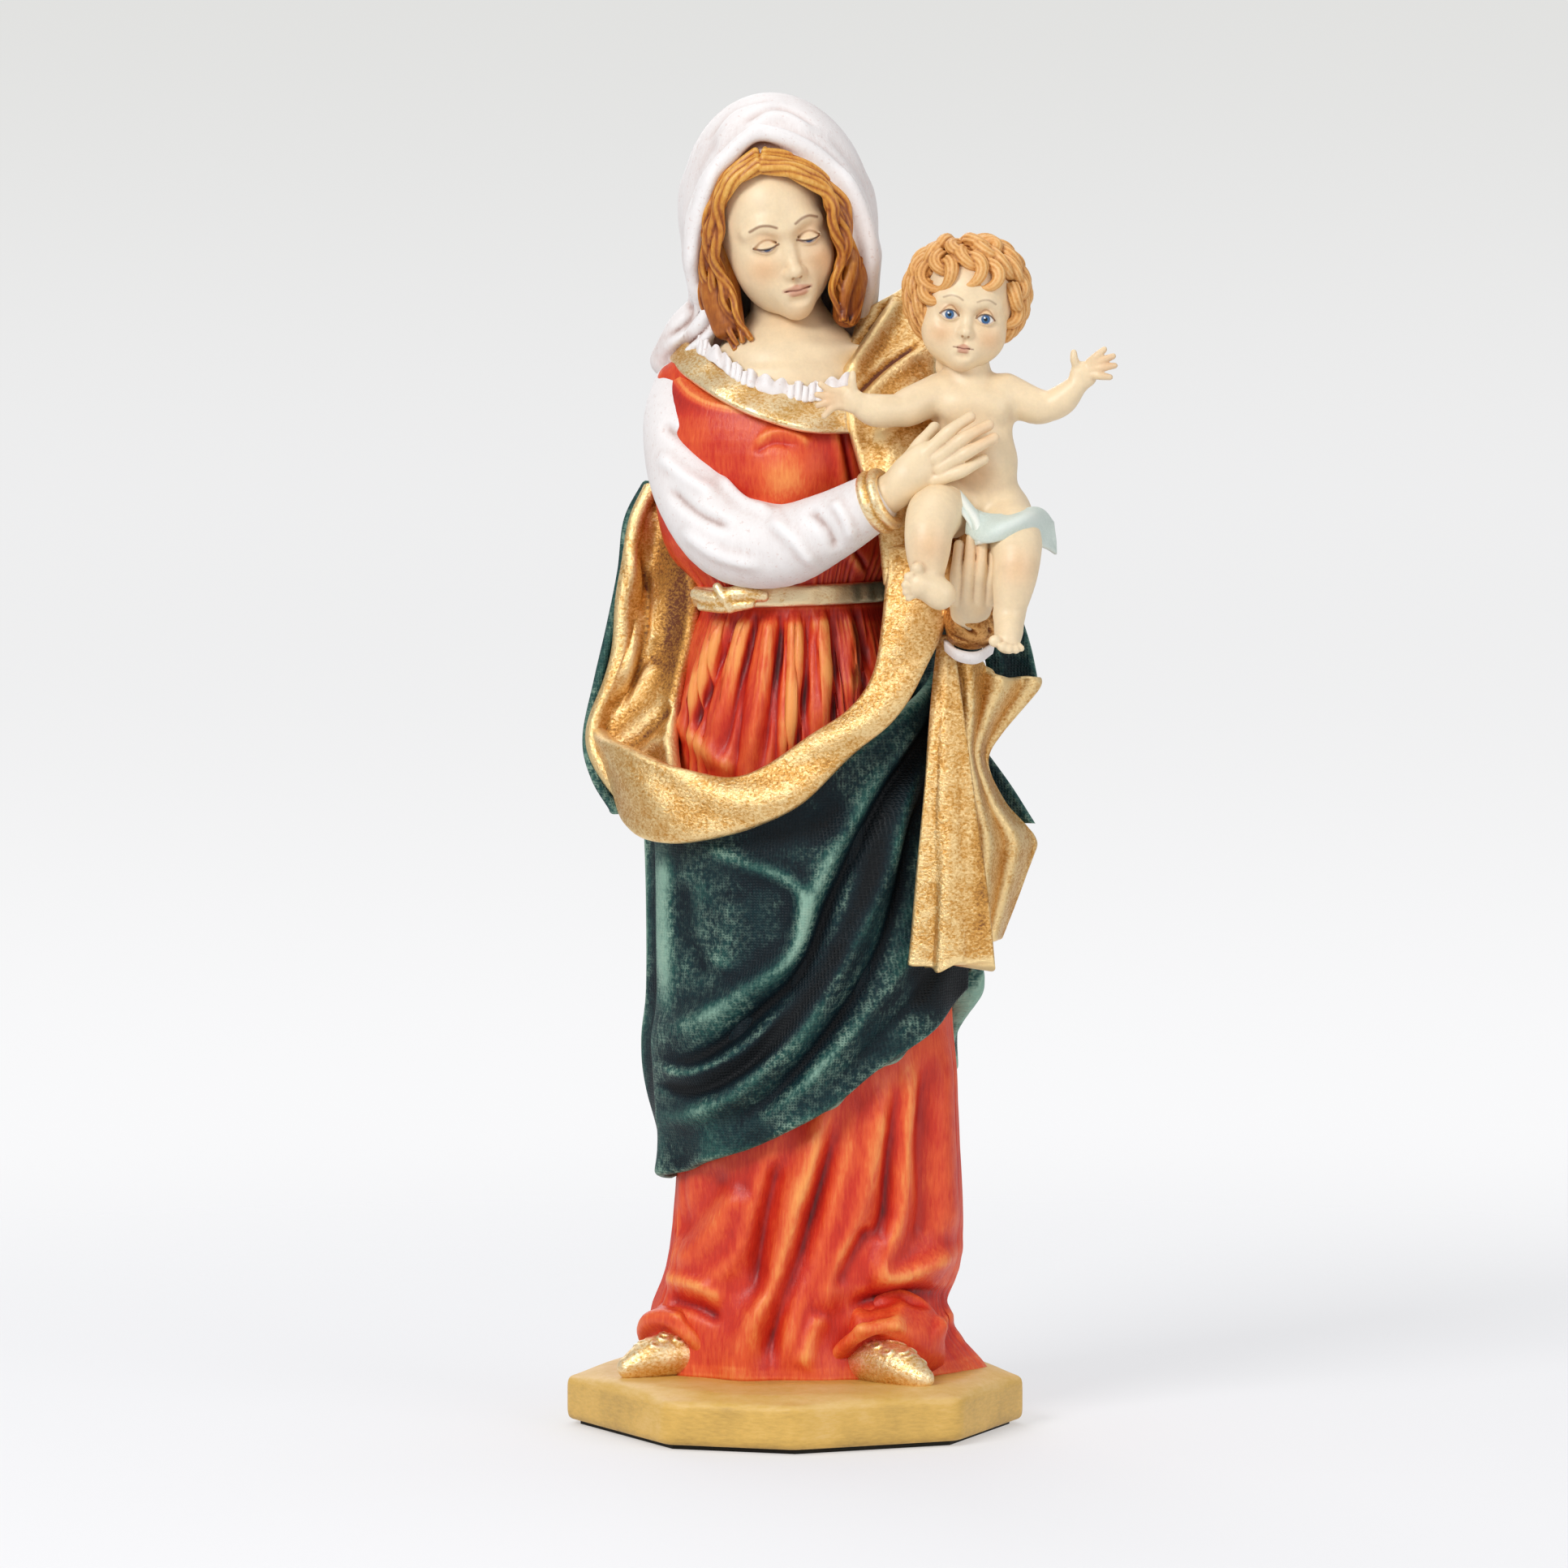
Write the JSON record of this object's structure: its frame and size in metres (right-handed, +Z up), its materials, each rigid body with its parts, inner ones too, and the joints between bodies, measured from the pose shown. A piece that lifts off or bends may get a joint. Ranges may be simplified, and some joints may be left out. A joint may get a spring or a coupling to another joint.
{
  "type": "madonna statue",
  "caption": "Free-standing painted resin statue of a robed Madonna in a cloak and veil holding the Child on one arm, on an octagonal plinth.",
  "frame": {"origin": "centre of the plinth's underside, on the surface it stands on", "axes": "+Z up the figure, -Y the way the figure faces, +X to the figure's left, which is the viewer's right"},
  "size_m": [0.2124, 0.1858, 0.5192],
  "materials": {
    "felt": "dark green wool felt",
    "plinth_paint": "ochre satin paint with darker brushed edges",
    "steel": "zinc plated",
    "flesh_paint": "ivory flesh paint, satin, with soft ochre shading",
    "dress_paint": "red and orange glazed paint, brushed along the folds",
    "mantle_paint": "deep teal paint, dry brushed with pale green on a linen grain",
    "gold_leaf": "antiqued gold leaf with brown glaze in the hollows",
    "veil_paint": "off-white satin paint with a brown wash in the creases",
    "hair_paint": "auburn paint with golden highlights",
    "child_hair_paint": "golden brown paint with lighter strands",
    "loincloth_paint": "pale aqua satin paint",
    "collar_leaf": "bright gold leaf"
  },
  "bodies": {
    "root": {"felt_pad": "felt", "plinth": "plinth_paint", "base_screw_left": "steel", "base_screw_right": "steel", "right_wrist_dowel": "steel", "left_wrist_dowel": "steel", "child_dowel": "steel", "right_hand": "flesh_paint", "left_hand": "flesh_paint", "child_head": "flesh_paint", "child_right_arm": "flesh_paint", "child_left_arm": "flesh_paint", "child_right_leg": "flesh_paint", "child_left_leg": "flesh_paint", "loincloth": "loincloth_paint", "child_torso": "flesh_paint", "child_hair": "child_hair_paint", "frill": "veil_paint", "collar_band": "collar_leaf", "mother_head": "flesh_paint", "mother_hair": "hair_paint", "right_cuff": "gold_leaf", "right_sleeve": "veil_paint", "left_cuff": "veil_paint", "left_shoe": "gold_leaf", "right_shoe": "gold_leaf", "mantle_lapel": "gold_leaf", "mantle_border": "gold_leaf", "cascade_front": "gold_leaf", "dress": "dress_paint", "belt": "gold_leaf", "mantle_flap": "gold_leaf", "cascade_rear": "gold_leaf", "mantle": "mantle_paint", "veil": "veil_paint"}
  },
  "joints": []
}
